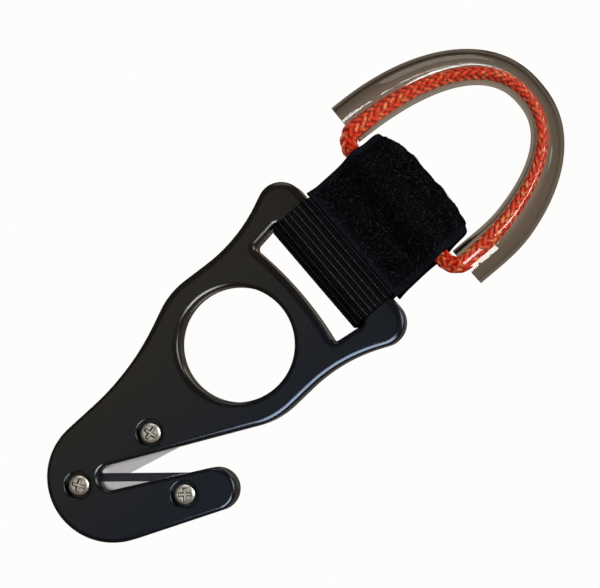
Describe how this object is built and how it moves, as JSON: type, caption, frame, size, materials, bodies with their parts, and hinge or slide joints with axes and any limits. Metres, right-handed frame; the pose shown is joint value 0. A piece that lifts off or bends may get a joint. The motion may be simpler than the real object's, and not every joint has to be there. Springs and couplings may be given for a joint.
{
  "type": "rigging knife",
  "caption": "Hook knife for lines and straps: finger ring, two clamped blades in a V mouth, sewn strap and cord pull loop in a clear tube.",
  "frame": {"origin": "centre of the object's box across and through, at the lowest point of the hook's heel", "axes": "+Z from the heel up to the pull loop; +X to the side where the mouth opens; -Y out of the face with the screw heads"},
  "size_m": [0.0551, 0.0116, 0.1523],
  "materials": {
    "black_anodised": "satin black anodised",
    "blade_steel": "ground steel",
    "screw_steel": "warm bright steel",
    "black_webbing": "ribbed weave",
    "black_pile": "fuzzy loop pile",
    "black_thread": "twisted thread",
    "red_cord": "braided sheath",
    "white_sleeve": "wrapped thread",
    "clear_pvc": "clear flexible tube"
  },
  "bodies": {
    "knife": {"front_plate": "black_anodised", "back_plate": "black_anodised", "upper_blade": "blade_steel", "lower_blade": "blade_steel", "heel_screw": "screw_steel", "upper_jaw_screw": "screw_steel", "lower_jaw_screw": "screw_steel", "webbing_wrap": "black_webbing"},
    "strap": {"webbing_tab": "black_webbing", "pile_tape": "black_pile", "lower_seam": "black_thread", "upper_seam": "black_thread"},
    "pull_loop": {"pull_cord": "red_cord", "cord_join_sleeve": "white_sleeve", "clear_tube": "clear_pvc"}
  },
  "joints": [
    {"name": "strap_fold", "type": "hinge", "parent": "knife", "child": "strap", "pos_m": [0, 0, 0.0969], "axis": [1, 0, 0], "range_deg": [-90, 90], "stiffness_Nm_per_rad": 0.01},
    {"name": "pull_loop_swing", "type": "hinge", "parent": "strap", "child": "pull_loop", "pos_m": [0, 0, 0.1076], "axis": [1, 0, 0], "range_deg": [-90, 90], "stiffness_Nm_per_rad": 0.003}
  ]
}
